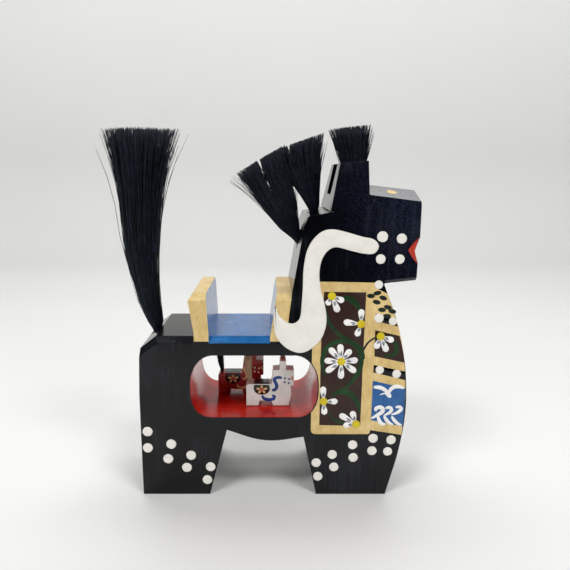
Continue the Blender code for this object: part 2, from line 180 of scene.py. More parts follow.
def brushed_paint(name, dark, base, light, rough=(0.3, 0.42), brush=(1.0, 1.0, 0.3),
                  relief=0.03, metallic=0.0, coat=0.0, specular=0.5):
    """Hand-brushed paint on wood: streaks along the brush, pores and uneven gloss."""
    nodes = Nodes(name)
    streak = nodes.noise(nodes.stretched(brush), 900.0, 5.0, 0.6)
    broad = nodes.noise(nodes.place, 110.0, 5.0, 0.6)
    speck = nodes.add("TexVoronoi", "Distance", {
        "Vector": nodes.stretched((1.0, 1.0, 0.55)), "Scale": 1500.0})
    blended = nodes.blend(streak, STREAKS, broad)
    colour = nodes.ramp(blended, ((0.32, srgb(dark)), (0.5, srgb(base)), (0.68, srgb(light))))
    roughness = nodes.remap(blended, rough[0], rough[1])
    pores = nodes.math("MULTIPLY", nodes.math("LESS_THAN", speck, 0.12), 0.35)
    height = nodes.math("SUBTRACT", streak, pores)
    return nodes.finish(colour, roughness, nodes.bump(height, relief), Metallic=metallic,
                        Coat_Weight=coat, Coat_Roughness=0.12, Specular_IOR_Level=specular)


def lacquer_material():
    """Black lacquer: wood grain shows faintly through it, with a fine bluish canvas-like tooth
    that grows stronger towards the muzzle."""
    nodes = Nodes("black_lacquer")
    grain = nodes.noise(nodes.stretched((1.0, 1.0, 0.06)), 500.0, 5.0, 0.6, 0.4)
    tooth_up = nodes.noise(nodes.stretched((1.0, 1.0, 0.45)), 2100.0, 2.0, 0.5)
    tooth_along = nodes.noise(nodes.stretched((0.45, 1.0, 1.0)), 2100.0, 2.0, 0.5)
    broad = nodes.noise(nodes.place, 30.0, 4.0, 0.55)
    tooth = nodes.math("MULTIPLY", tooth_up, tooth_along)
    blended = nodes.blend(grain, 0.4, broad)
    body = nodes.ramp(blended, ((0.38, srgb("020203")), (0.5, srgb("06070a")),
                                (0.64, srgb("1b1d22"))))
    bluish = nodes.ramp(tooth, ((0.14, srgb("030408")), (0.25, srgb("0a0d18")),
                                (0.38, srgb("1c2440"))))
    muzzlewards = nodes.remap(nodes.part("X"), 0.05, 1.0, 0.03, 0.075)
    headwards = nodes.remap(nodes.part("Z"), 0.1, 1.0, 0.10, 0.15)
    weight = nodes.math("MULTIPLY", muzzlewards, headwards)
    colour = nodes.mix(weight, body, bluish, "ADD")
    roughness = nodes.remap(blended, 0.12, 0.19)
    height = nodes.math("ADD", nodes.math("MULTIPLY", grain, 0.5), tooth)
    return nodes.finish(colour, roughness, nodes.bump(height, 0.03), Specular_IOR_Level=0.29)


def hair_material(name, dark, base, light, rough=(0.3, 0.45), specular=0.4):
    """Straight coarse hair: every strand a little different, with paler scuffed stretches."""
    nodes = Nodes(name)
    strand = nodes.noise(nodes.stretched((1.0, 1.0, 0.04)), 3500.0, 2.0, 0.5)
    length = nodes.noise(nodes.stretched((0.4, 0.4, 1.0)), 400.0, 4.0, 0.6)
    blended = nodes.blend(strand, 0.7, length)
    colour = nodes.ramp(blended, ((0.35, srgb(dark)), (0.5, srgb(base)), (0.68, srgb(light))))
    roughness = nodes.remap(length, rough[0], rough[1])
    return nodes.finish(colour, roughness, nodes.bump(length, 0.02),
                        Specular_IOR_Level=specular)


def thread_material():
    """Twisted white cotton thread, seen only down inside the drilled holes."""
    nodes = Nodes("binding_thread")
    ply = nodes.add("TexWave", "Fac", {"Vector": nodes.place, "Scale": 700.0,
                                       "Distortion": 1.5}, bands_direction="Z")
    colour = nodes.ramp(ply, ((0.1, srgb("8d8470")), (0.8, srgb("d8d2c2"))))
    return nodes.finish(colour, nodes.remap(ply, 0.7, 0.9), nodes.bump(ply, 0.15),
                        Sheen_Weight=0.3)


def stage_material():
    """Plain matt studio paper with a barely visible mottle.  Painted shade makes it a little
    darker where it bends up behind the horse, and a painted lightening makes it paler again at the
    top."""
    base = srgb("f2f2f0")
    nodes = Nodes("studio_paper")
    mottle = nodes.noise(nodes.place, 6.0, 5.0, 0.6)
    fibre = nodes.noise(nodes.place, 900.0, 3.0, 0.6)
    low = tuple(c * 0.985 for c in base[:3]) + (1.0,)
    paper = nodes.ramp(mottle, ((0.3, low), (0.7, base)))
    rise = nodes.remap(nodes.part("Z"), 0.0, 1.0, 0.0, 0.5)
    # Painted shade: the paper's colour darkens as it rises behind the horse and lightens again
    # near the top
    painted_backdrop_shade = nodes.ramp(rise, ((0.0, (1.0, 1.0, 1.0, 1.0)), (0.06, (0.84, 0.84, 0.84, 1.0)),
                             (0.4, (0.86, 0.86, 0.86, 1.0)), (0.9, (1.0, 1.0, 1.0, 1.0))))
    colour = nodes.mix(1.0, paper, painted_backdrop_shade, "MULTIPLY")
    return nodes.finish(colour, nodes.remap(fibre, 0.75, 0.9), nodes.bump(fibre, 0.02),
                        Specular_IOR_Level=0.2)


LACQUER = lacquer_material()
GOLD = brushed_paint("gold_paint", "c6a666", "dabd7e", "ead29a", (0.4, 0.52), metallic=0.25)
BLUE = brushed_paint("blue_paint", "06528a", "0a60a0", "126eb0", (0.2, 0.3),
                     (0.15, 1.0, 1.0), coat=0.3, specular=0.4)
PANEL_BLUE = brushed_paint("panel_blue_paint", "184c7c", "1f5894", "2c68a4")
RED = brushed_paint("red_paint", "90120a", "b8180c", "cc2410", (0.16, 0.28),
                    (0.12, 1.0, 1.0), 0.04, coat=0.1, specular=0.3)
MAROON = brushed_paint("maroon_paint", "240f0a", "2e1610", "381e16", specular=0.35)
GREEN = brushed_paint("green_paint", "062408", "0c3410", "18481e", specular=0.35)
LEAF = brushed_paint("leaf_paint", "020c06", "06180c", "0c2814", (0.3, 0.4))
WHITE = brushed_paint("white_paint", "e0ddd5", "e8e5dd", "efece5", brush=(0.4, 1.0, 1.0),
                      relief=0.02)
PETAL = brushed_paint("petal_paint", "dcdadd", "f0eeec", "faf8f4", relief=0.05)
SHADE = brushed_paint("petal_shade_paint", "8c8e9c", "aaacb8", "c4c5cc", (0.35, 0.5))
STROKE = brushed_paint("petal_stroke_paint", "262832", "3a3c48", "565864", (0.35, 0.5))
YELLOW = brushed_paint("yellow_paint", "bc9e00", "d0ba02", "e0d01a", relief=0.05)
LIP = brushed_paint("lip_paint", "98261a", "b43624", "c64a36", (0.25, 0.35))
FOAL_WHITE = brushed_paint("foal_white_paint", "c8c9c4", "d9dbd6", "e6e8e2", (0.25, 0.4))
FOAL_RED = brushed_paint("foal_red_paint", "6c0c0a", "901410", "a81e18", (0.2, 0.34))
FOAL_BLACK = brushed_paint("foal_black_paint", "060606", "0b0b0c", "141416", (0.2, 0.32))
FOAL_BLUE = brushed_paint("foal_blue_paint", "0a2860", "103880", "1a4a96", (0.25, 0.4))
CREAM = brushed_paint("cream_paint", "b48c58", "d4b078", "ecd4a0")
BLACK_HAIR = hair_material("black_horsehair", "04060a", "0c121c", "2a3850", (0.45, 0.6), 0.25)
BLOND_HAIR = hair_material("blond_hair", "7c6448", "ad9376", "ceb698")
CHESTNUT_HAIR = hair_material("chestnut_hair", "6a3418", "9c5832", "c07a4c")
THREAD = thread_material()


# -------- mesh helpers

def new_object(name, data):
    made = bpy.data.objects.new(name, data)
    bpy.context.scene.collection.objects.link(made)
    return made


def heading(degrees):
    """The unit vector at an angle in the side view, from +x towards +z."""
    turn = math.radians(degrees)
    return Vector((math.cos(turn), math.sin(turn)))


# How finely curves are cut, and how deep paint reaches into the wood, in millimetres
CURVE_STEPS = 6
DOME_STEPS = 6
DOT_CORNERS = 22
SUNK = 0.15
PATCH_SUNK = 0.2

# A dot's rings: share of its radius, and share of its height (negative: sunk, in millimetres)
DOT_RINGS = ((1.0, -SUNK), (1.0, 0.25), (0.93, 0.75), (0.78, 1.0), (0.55, 0.8))


def smooth_mesh(name, bm):
    mesh = bpy.data.meshes.new(name)
    for face in bm.faces:
        face.smooth = True
    bm.to_mesh(mesh)
    bm.free()
    return mesh


def new_piece(name, bm, materials, body):
    """Turn a finished bmesh into a smooth piece that rides on a body."""
    bmesh.ops.recalc_face_normals(bm, faces=bm.faces)
    return add_piece(name, smooth_mesh(name, bm), materials, body)


def add_piece(name, mesh, materials, body):
    """Put a mesh in the scene as a piece that rides on a body."""
    for material in materials:
        mesh.materials.append(material)
    piece = new_object(name, mesh)
    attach(piece, body)
    return piece


def cubic(start, leave, end, arrive, t):
    """A point on the curve that leaves one end and arrives at the other with these slopes."""
    return (start * (2 * t ** 3 - 3 * t ** 2 + 1) + leave * (t ** 3 - 2 * t ** 2 + t)
            + end * (3 * t ** 2 - 2 * t ** 3) + arrive * (t ** 3 - t ** 2))


def smooth_path(points, closed=False):
    """Points on a smooth curve through the given ones.  A point (x, z, 0) is a corner."""
    count = len(points)
    knots = [Vector(point[:2]) for point in points]
    corner = [len(point) == 3 for point in points]
    spans = count if closed else count - 1
    result = []
    for index in range(spans):
        after = (index + 1) % count
        start, end = knots[index], knots[after]
        ahead = knots[(index + 2) % count] if closed or index + 2 < count else end
        behind = knots[index - 1] if closed or index > 0 else start
        leave = end - start if corner[index] else (end - behind) / 2.0
        arrive = end - start if corner[after] else (ahead - start) / 2.0
        if corner[index] and corner[after]:
            result.append(start)
            continue
        for step in range(CURVE_STEPS):
            result.append(cubic(start, leave, end, arrive, step / CURVE_STEPS))
    if not closed:
        result.append(knots[-1])
    return result


def side_face(side, half=HALF, x_start=HEEL, z_start=0.0, y_middle=0.0):
    """Maps (x, z, lift) in millimetres to a point over a side face."""
    def place(x, z, lift):
        return Vector((x_start + x * MM, y_middle + side * (half + lift * MM), z_start + z * MM))
    return place


def join_rings(bm, first, second):
    """A band of four-sided faces between two closed rings of points."""
    for index in range(len(first)):
        after = (index + 1) % len(first)
        bm.faces.new((first[index], first[after], second[after], second[index]))


def raised_patch(bm, outline, lift, place, rim):
    """A layer of paint with a flat top and rounded rim.  The outline is a closed path, and
    rim is how far in from it the flat top starts."""
    count = len(outline)
    area = sum(outline[i - 1].cross(outline[i]) for i in range(count)) / 2.0
    turn = 1.0 if area > 0.0 else -1.0
    inward = []
    for index in range(count):
        before = (outline[index] - outline[index - 1]).normalized()
        after = (outline[(index + 1) % count] - outline[index]).normalized()
        bisector = Vector((-(before.y + after.y), before.x + after.x)) * turn
        if bisector.length < 1e-6:
            bisector = Vector((-after.y, after.x)) * turn
        bisector.normalize()
        spread = max(0.5, bisector.dot(Vector((-after.y, after.x)) * turn))
        inward.append(bisector / spread)
    rings = []
    rim = min(rim, lift * 0.9)
    for inset, height in ((0.0, -PATCH_SUNK), (0.0, lift - rim),
                          (rim * 0.3, lift - rim * 0.3), (rim, lift)):
        rings.append([bm.verts.new(place(*(point + inner * inset), height))
                      for point, inner in zip(outline, inward)])
    for lower, upper in zip(rings, rings[1:]):
        join_rings(bm, lower, upper)
    bm.faces.new(rings[0])
    bm.faces.new(rings[-1])


def brush_stroke(bm, path, widths, lift, place, base):
    """A stroke of thick paint along a smooth path, domed across, with rounded ends.  The
    widths are spread evenly along it, and base is the height that the dome starts from."""
    centre = smooth_path(path)
    lengths = [0.0]
    for before, after in zip(centre, centre[1:]):
        lengths.append(lengths[-1] + (after - before).length)
    total = lengths[-1]
    rings = []
    for index, point in enumerate(centre):
        before = centre[max(0, index - 1)]
        after = centre[min(len(centre) - 1, index + 1)]
        along = (after - before).normalized()
        across = Vector((-along.y, along.x))
        share = lengths[index] / total * (len(widths) - 1)
        low = min(int(share), len(widths) - 2)
        half = (widths[low] + (widths[low + 1] - widths[low]) * (share - low)) / 2.0
        end = min(lengths[index], total - lengths[index]) / max(half, 1e-6)
        half *= math.sqrt(max(0.04, 1.0 - (1.0 - min(1.0, end)) ** 2))
        height = lift * min(1.0, half * 2.5 / max(widths))
        ring = [bm.verts.new(place(*(point - across * half), -SUNK))]
        for step in range(DOME_STEPS + 1):
            angle = math.pi * step / DOME_STEPS
            offset = across * (-half * math.cos(angle))
            dome = base + height * math.sin(angle) ** 0.6
            ring.append(bm.verts.new(place(*(point + offset), dome)))
        ring.append(bm.verts.new(place(*(point + across * half), -SUNK)))
        rings.append(ring)
    for first, second in zip(rings, rings[1:]):
        join_rings(bm, first, second)
    bm.faces.new(rings[0])
    bm.faces.new(rings[-1])


def paint_dot(bm, x, z, radius, lift, place, rng, long=1.0, turn=0.0, base=0.0):
    """A drop of paint: a low dome with a slightly uneven rim and a faint dimple."""
    wobble = [1.0 + rng.uniform(-0.025, 0.025) for _ in range(DOT_CORNERS)]
    rings = []
    for share, height in DOT_RINGS:
        ring = []
        for step in range(DOT_CORNERS):
            angle = 2.0 * math.pi * step / DOT_CORNERS
            reach = radius * share * wobble[step]
            along = reach * long * math.cos(angle)
            across = reach * math.sin(angle)
            level = height if height < 0.0 else base + height * lift
            ring.append(bm.verts.new(place(
                x + along * math.cos(turn) - across * math.sin(turn),
                z + along * math.sin(turn) + across * math.cos(turn), level)))
        rings.append(ring)
    centre = bm.verts.new(place(x, z, base + lift * 0.65))
    for lower, upper in zip(rings, rings[1:]):
        join_rings(bm, lower, upper)
    for step in range(DOT_CORNERS):
        bm.faces.new((rings[-1][step], rings[-1][(step + 1) % DOT_CORNERS], centre))
    bm.faces.new(rings[0])


# Edges sharper than the first are rounded, and those flatter than the second shade smoothly
CRISP_ANGLE = math.radians(28.0)
SMOOTH_ANGLE = math.radians(12.0)


def block_copy(node, cuts=()):
    """A copy of a CAD block's shape, with its flat faces joined up, ready for zones and soft
    edges.  A cut is (point, normal): a plane that splits the side faces for paint."""
    bm = bmesh.new()
    bm.from_mesh(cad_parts[node].data)
    bmesh.ops.remove_doubles(bm, verts=bm.verts, dist=0.002 * MM)
    bmesh.ops.dissolve_limit(bm, angle_limit=math.radians(0.4), verts=bm.verts, edges=bm.edges)
    for point, normal in cuts:
        flat = [face for face in bm.faces if abs(face.normal.y) > 0.99]
        edges = {edge for face in flat for edge in face.edges}
        corners = {corner for face in flat for corner in face.verts}
        bmesh.ops.bisect_plane(bm, geom=[*flat, *edges, *corners], dist=0.001 * MM,
                               plane_co=point, plane_no=normal)
    bmesh.ops.dissolve_degenerate(bm, edges=bm.edges, dist=0.01 * MM)
    return bm


def soften(bm, width):
    """Round the crisp edges except at crowded corners, and keep the flats' flat shading."""
    crisp = {edge for edge in bm.edges if len(edge.link_faces) == 2
             and edge.link_faces[0].normal.angle(edge.link_faces[1].normal, 0.0) > CRISP_ANGLE}
    crowded = {corner for corner in bm.verts
               if min(edge.calc_length() for edge in corner.link_edges) < 2.2 * width * MM
               or sum(edge in crisp for edge in corner.link_edges) > 4}
    edges = [edge for edge in crisp if not crowded.intersection(edge.verts)]
    made = bmesh.ops.bevel(bm, geom=edges, offset=width * MM, segments=3, profile=0.5,
                           affect="EDGES", clamp_overlap=True, material=-1)
    rounded = set(made["faces"])
    for edge in bm.edges:
        faces = edge.link_faces
        if len(faces) != 2 or all(face in rounded for face in faces):
            continue
        if any(face in rounded for face in faces):
            edge.smooth = False
        elif not all(face.material_index == RED_SLOT for face in faces):
            edge.smooth = faces[0].normal.angle(faces[1].normal, 0.0) < SMOOTH_ANGLE


# -------- the horse's block

def horse_zone(face):
    """Which material slot a face of the block takes."""
    centre = face.calc_center_median()
    normal = face.normal
    x = (centre.x - HEEL) / MM
    z = centre.z / MM
    steep = 0.7
    if TUNNEL[0] < x < TUNNEL[2] and TUNNEL[1] < z < TUNNEL[3] and abs(normal.y) < 0.5:
        return RED_SLOT
    if x > MOUTH_NOTCH[0] and MOUTH_NOTCH[1] < z < MOUTH_NOTCH[2] and normal.x > steep:
        return LIP_SLOT
    lowest = min(corner.co.z for corner in face.verts) / MM
    if lowest < BACK - BACK_CHAMFER - 0.05 or z > SADDLE + 0.5:
        return LACQUER_SLOT
    if REAR_BOARD[0] < x < REAR_BOARD[1]:
        return BLUE_SLOT if normal.x > steep else GOLD_SLOT
    if SEAT[0] < x < SEAT[1] and normal.z > 0.3:
        return BLUE_SLOT
    if FRONT_BOARD[0] < x < FRONT_BOARD[1]:
        return BLUE_SLOT if normal.x < -steep else GOLD_SLOT
    return LACQUER_SLOT


def make_horse_block():
    """The block with its side faces split, so that paint ends along straight lines."""
    paint_foot = 0.95
    above_chamfer = Vector((0.0, 0.0, (BACK - BACK_CHAMFER + paint_foot) * MM))
    board_top = Vector((HEEL + BOARD_TOP[0] * MM, 0.0, BOARD_TOP[1] * MM))
    board_foot = Vector((HEEL + BOARD_FOOT[0] * MM, 0.0, BOARD_FOOT[1] * MM))
    along = board_top - board_foot
    cuts = (
        (above_chamfer, Vector((0.0, 0.0, 1.0))),
        (board_top, Vector((along.z, 0.0, -along.x))),
    )
    bm = block_copy("body_block", cuts)
    for face in bm.faces:
        face.material_index = horse_zone(face)
    soften(bm, BLOCK_SOFTNESS)
    piece = new_piece("horse_block", bm, (LACQUER, GOLD, BLUE, RED, LIP), "horse")
    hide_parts("body_block")


# -------- paint on the sides

# Outlines are closed.  Strokes are a path and the widths along it.  Dots are x, z and radius.
REIN = (
    (125.4, 138.2), (122.6, 141.7), (116.9, 143.0), (110.4, 144.9), (102.6, 146.7),
    (97.0, 145.9), (92.4, 142.2), (88.9, 136.0), (87.2, 127.0), (86.9, 118.0),
    (86.5, 110.0), (85.8, 101.5), (83.8, 98.4), (81.1, 97.6), (77.8, 98.9), (74.6, 102.2),
    (72.6, 107.3), (71.9, 98.8), (72.9, 91.2), (77.9, 84.8), (84.6, 81.7), (90.4, 83.0),
    (96.2, 88.3), (98.9, 94.6), (99.5, 101.0), (98.2, 108.6), (96.3, 115.5), (95.4, 123.0),
    (96.2, 130.0), (99.0, 135.3), (103.6, 137.6), (111.3, 135.8), (118.0, 134.3),
    (123.2, 134.5),
)
WHITE_DOTS = (
    (127.1, 143.0, 2.8), (136.9, 142.0, 2.6), (126.6, 131.5, 2.5), (136.3, 131.5, 2.5),
    (126.1, 118.2, 2.25),
    (3.6, 37.1, 2.75), (3.4, 27.6, 2.75), (16.2, 29.8, 2.75), (14.3, 21.2, 2.75),
    (26.9, 23.2, 2.7), (24.4, 16.0, 2.7), (37.4, 16.4, 2.65), (35.5, 8.7, 2.65),
    (95.3, 18.8, 2.6), (96.3, 10.7, 2.6), (104.0, 23.7, 2.6), (105.0, 16.3, 2.6),
    (115.0, 29.4, 2.6), (115.5, 21.9, 2.6), (126.0, 33.2, 2.6), (125.6, 25.9, 2.6),
    (135.8, 32.3, 2.6), (134.2, 25.5, 2.5),
)
BAND_DOTS = ((126.8, 100.5, 2.5), (134.1, 98.8, 2.15), (128.2, 72.2, 2.25), (137.2, 70.0, 2.35))


def tunnel_lip(low, high):
    """Points just in front of the tunnel's front end, a superellipse squarer below than above."""
    steps, margin = 9, 0.5
    middle = (TUNNEL[1] + TUNNEL[3]) / 2.0
    half_height = (TUNNEL[3] - TUNNEL[1]) / 2.0
    points = []
    for step in range(steps):
        z = low + (high - low) * step / (steps - 1)
        power = TUNNEL_POWER_ABOVE if z > middle else TUNNEL_POWER_BELOW
        share = 1.0 - abs((z - middle) / half_height) ** power
        points.append((TUNNEL[2] - TUNNEL_END + TUNNEL_END * share ** (1.0 / power) + margin, z))
    return points


# Gold ground of the chest cloth: the long left panel's frame and the column beside it
GOLD_GROUNDS = (
    ((95.4, 119.8, 0), (124.2, 119.3, 0), (124.2, 37.4, 0), (123.9, 36.2, 0), (122.9, 35.6, 0),
     (94.2, 35.6, 0), (92.7, 36.2, 0), (92.1, 37.6, 0), (92.1, 48.2, 0),
     *tunnel_lip(49.2, 74.9), (92.1, 75.9, 0), (92.2, 84.0, 0), (96.0, 88.5, 0),
     (95.4, 104.0, 0)),
    ((124.1, 118.4, 0), (124.6, 116.5, 0), (130.8, 113.4, 0), (134.5, 103.5), (138.1, 92.5),
     (140.9, 78.0), (142.3, 62.0), (142.0, 46.0), (141.3, 35.2, 0), (124.1, 38.0, 0)),
)
MAROON_PANELS = (
    ((97.9, 114.5, 0), (119.8, 114.2, 0), (119.3, 85.3), (118.8, 40.3, 0), (96.6, 40.9, 0),
     (96.9, 88.3)),
    ((125.0, 94.0, 0), (138.0, 90.9, 0), (140.1, 83.0), (141.4, 76.1, 0), (125.1, 79.7, 0)),
)
BLACK_BANDS = (
    ((125.0, 102.9, 0), (135.0, 100.4, 0), (137.0, 95.9, 0), (125.2, 98.9, 0)),
    ((124.9, 74.9, 0), (141.9, 71.3, 0), (142.2, 66.4, 0), (124.8, 70.8, 0)),
)
BLUE_PANEL = ((124.7, 66.2, 0), (142.3, 61.9, 0), (142.2, 50.0), (141.7, 40.1, 0),
              (124.5, 43.7, 0))

# Daisies: the centre, then each petal's angle in degrees and length.  Touches on a petal:
# degrees sideways, start and end as shares of its length, widths and base.
DAISIES = (
    (102.0, 112.2, ((-117, 5.4), (-68, 9.2), (-23, 6.9))),
    (117.6, 97.3, ((91, 8.0), (173, 9.3), (-109, 7.0))),
    (107.7, 76.9, ((131, 9.8), (95, 9.6), (53, 8.2), (5, 8.8), (-37, 9.8), (-90, 9.7),
                   (-144, 9.9), (177, 9.0))),
    (98.7, 54.5, ((93, 8.4), (0, 7.6), (-85, 7.6))),
    (116.5, 41.6, ((188, 7.0), (149, 10.6), (108, 7.8))),
    (128.0, 90.7, ((-19, 7.4), (-67, 9.2), (-109, 7.2))),
)
CENTRE_RADIUS = 2.15
PETAL_WIDTHS = (1.2, 2.2, 3.1, 3.5, 3.0)
PETAL_SHADES = ((0, 0.3, 0.68, (1.0, 1.6, 1.5), 0.54),)
PETAL_STROKES = ((-3, 0.36, 0.62, (0.3, 0.55, 0.4), 0.6), (9, 0.34, 0.5, (0.2, 0.35, 0.2), 0.58))
VINES = (
    (((98.9, 107.0), (99.7, 101.0), (102.6, 95.4), (107.2, 90.9), (112.0, 88.2), (116.0, 85.9),
      (118.6, 82.6), (119.6, 78.0)), (1.0, 1.6, 1.9, 1.7, 1.5)),
    (((106.6, 111.4), (110.2, 111.0), (113.8, 108.9), (116.2, 105.8), (117.2, 102.0)),
     (1.6, 3.0, 3.2, 2.0, 0.8)),
    (((99.6, 69.6), (97.8, 73.6), (97.7, 78.6), (99.5, 83.4), (103.2, 86.9), (108.0, 88.2),
      (113.0, 86.8), (117.0, 83.0), (118.3, 77.6), (117.3, 71.6), (113.9, 66.0), (109.4, 61.6),
      (104.4, 58.6)), (1.0, 2.4, 2.6, 2.0, 2.6, 2.4, 1.6, 1.2)),
    (((102.0, 57.0), (106.0, 59.6), (110.6, 59.6), (114.6, 57.2), (117.2, 53.0), (118.0, 48.6)),
     (1.0, 2.8, 3.6, 3.0, 1.0)),
    (((101.6, 48.6), (103.6, 45.0), (107.0, 42.8), (111.0, 41.7)), (0.8, 1.4, 1.2)),
    (((134.8, 88.0), (136.6, 85.2), (136.4, 81.9), (133.8, 80.2), (130.4, 79.9)),
     (1.4, 2.4, 2.2, 0.8)),
)
STEM = ((((118.9, 82.6), (120.8, 86.2), (123.2, 88.7), (125.9, 90.2)), (1.1, 1.0, 0.8)),)

# Leaf marks: x, z and an angle in degrees
LEAF_MARKS = ((125.5, 113.8, 12), (122.2, 112.3, -4), (128.6, 111.2, -18), (125.3, 109.0, -14),
              (131.2, 106.3, -12), (128.2, 104.9, -6), (133.6, 104.1, -14), (130.9, 101.6, -6))

BIRD = (
    (((125.2, 62.6), (128.8, 62.3), (131.6, 60.8), (133.2, 59.0)), (1.6, 2.3, 2.1, 1.8)),
    (((133.4, 59.2), (134.6, 61.5), (136.6, 62.8), (139.0, 62.8), (141.5, 61.9)),
     (1.7, 2.2, 2.2, 1.2)),
    (((131.6, 60.0), (133.2, 58.6), (134.6, 56.6)), (2.2, 2.6, 1.7)),
    (((128.7, 58.2), (130.6, 58.9), (132.6, 59.4)), (0.5, 0.8, 1.0)),
)
WAVES = (
    (((124.5, 44.7), (127.7, 46.6), (130.2, 48.4), (130.6, 50.2), (128.9, 51.2),
      (126.9, 50.4), (127.2, 48.9)), (0.9, 2.0, 2.4, 2.2, 1.6)),
    (((131.2, 46.4), (134.2, 48.0), (135.3, 49.7), (134.2, 51.1), (132.0, 50.6)),
     (0.7, 1.8, 2.0, 1.3)),
    (((135.2, 46.8), (138.6, 48.2), (140.5, 50.0), (139.6, 51.4), (137.4, 51.0)),
     (0.7, 1.8, 2.0, 1.2)),
    (((128.1, 46.2), (128.9, 43.6), (130.4, 41.8), (132.4, 41.3)), (1.3, 2.0, 2.0, 1.0)),
    (((131.4, 46.3), (132.8, 43.9), (134.6, 42.0), (136.6, 41.2)), (1.2, 2.0, 1.9, 0.9)),
    (((135.5, 46.0), (137.0, 43.8), (139.0, 41.8), (141.3, 40.9)), (1.1, 2.0, 1.9, 0.8)),
)
MOUTH = ((145.8, 142.6, 0), (142.6, 139.4), (140.4, 136.1, 0), (142.6, 132.4),
         (145.3, 129.2, 0), (143.8, 135.7, 0))


# Heights of the layers of paint over the wood, in millimetres
GROUND_LIFT = 0.14
PANEL_LIFT = 0.22
REIN_LIFT = 0.75
REIN_RIM = 0.5


def paint_piece(name, material, draw, body="horse"):
    """One piece for one colour on one side.  draw fills a bmesh."""
    bm = bmesh.new()
    draw(bm)
    new_piece(name, bm, (material,), body)


def patches(outlines, lift, place, rim=0.12):
    def draw(bm):
        for outline in outlines:
            raised_patch(bm, smooth_path(outline, True), lift, place, rim)
    return draw


def strokes(items, lift, place, base=0.0):
    def draw(bm):
        for path, widths in items:
            brush_stroke(bm, path, widths, lift, place, base)
    return draw


def dots(items, lift, place, base=0.0, seed=3):
    def draw(bm):
        rng = random.Random(seed)
        for x, z, radius in items:
            paint_dot(bm, x, z, radius, lift, place, rng, base=base)
    return draw


def daisy_petals(place):
    def draw(bm):
        for x, z, petals in DAISIES:
            for angle, length in petals:
                reach = heading(angle)
                centre = Vector((x, z))
                start = centre + reach * 1.7
                middle = centre + reach * length * 0.62
                tip = centre + reach * length
                brush_stroke(bm, [tuple(start), tuple(middle), tuple(tip)], PETAL_WIDTHS, 0.35,
                             place, 0.28)
    return draw


def petal_touches(place, touches):
    def draw(bm):
        for x, z, petals in DAISIES:
            for angle, length in petals:
                for sideways, start, end, widths, base in touches:
                    reach = heading(angle + sideways) * length
                    path = [tuple(Vector((x, z)) + reach * share)
                            for share in (start, (start + end) / 2.0, end)]
                    brush_stroke(bm, path, widths, 0.08, place, base)
    return draw


def leaf_marks(place):
    def draw(bm):
        rng = random.Random(5)
        for x, z, angle in LEAF_MARKS:
            paint_dot(bm, x, z, 1.2, 0.16, place, rng, 1.75, math.radians(angle), 0.12)
    return draw


def paint_side(side, label):
    place = side_face(side)
    centres = [(x, z, CENTRE_RADIUS) for x, z, _ in DAISIES]
    layers = (
        ("gold_grounds", GOLD, patches(GOLD_GROUNDS, GROUND_LIFT, place)),
        ("maroon_panels", MAROON, patches(MAROON_PANELS, PANEL_LIFT, place)),
        ("black_bands", LACQUER, patches(BLACK_BANDS, PANEL_LIFT, place)),
        ("blue_panel", PANEL_BLUE, patches((BLUE_PANEL,), PANEL_LIFT, place)),
        ("vines", GREEN, strokes(VINES, 0.1, place, 0.24)),
        ("vine_stem", LEAF, strokes(STEM, 0.14, place, 0.24)),
        ("leaf_marks", LEAF, leaf_marks(place)),
        ("daisy_petals", PETAL, daisy_petals(place)),
        ("daisy_shades", SHADE, petal_touches(place, PETAL_SHADES)),
        ("daisy_strokes", STROKE, petal_touches(place, PETAL_STROKES)),
        ("daisy_centres", YELLOW, dots(centres, 0.45, place, 0.35, seed=8)),
        ("bird", PETAL, strokes(BIRD, 0.3, place, 0.2)),
        ("waves", PETAL, strokes(WAVES, 0.3, place, 0.2)),
        ("white_dots", WHITE, dots(WHITE_DOTS, 0.45, place)),
        ("band_dots", WHITE, dots(BAND_DOTS, 0.4, place, PANEL_LIFT)),
        ("white_rein", WHITE, patches((REIN,), REIN_LIFT, place, REIN_RIM)),
        ("mouth", LIP, patches((MOUTH,), 0.2, place)),
    )
    for name, material, draw in layers:
        paint_piece(f"{name}_{label}", material, draw)


# The forehead: its flat strip's half width and height, how steeply the facet beside it falls
# outwards and forwards, and where the spot's middle lies on that
FOREHEAD_STRIP = 11.0
FOREHEAD_HEIGHT = 167.3
FALL_OUTWARDS = 5.5 / 17.0
FALL_FORWARDS = 3.0 / 26.0
SPOT_X, SPOT_Y = 133.0, 18.0


def forehead_spot(side, label):
    """A gold spot, lying on the shallow facet beside the forehead's flat strip."""
    height = FOREHEAD_HEIGHT - FALL_OUTWARDS * (SPOT_Y - FOREHEAD_STRIP)

    def place(x, y, lift):
        across = SPOT_Y + y * math.cos(math.atan(FALL_OUTWARDS))
        z = height - FALL_OUTWARDS * (across - SPOT_Y) - x * FALL_FORWARDS
        return Vector((HEEL + (SPOT_X + x) * MM, side * across * MM, (z + lift) * MM))

    paint_piece(f"forehead_spot_{label}", GOLD,
                lambda bm: paint_dot(bm, 0.0, 0.0, 2.5, 0.25, place, random.Random(2), 1.1))


# -------- hair

# A strand's thickness at its tip, as a share of the rest
STRAND_TIP = 0.55


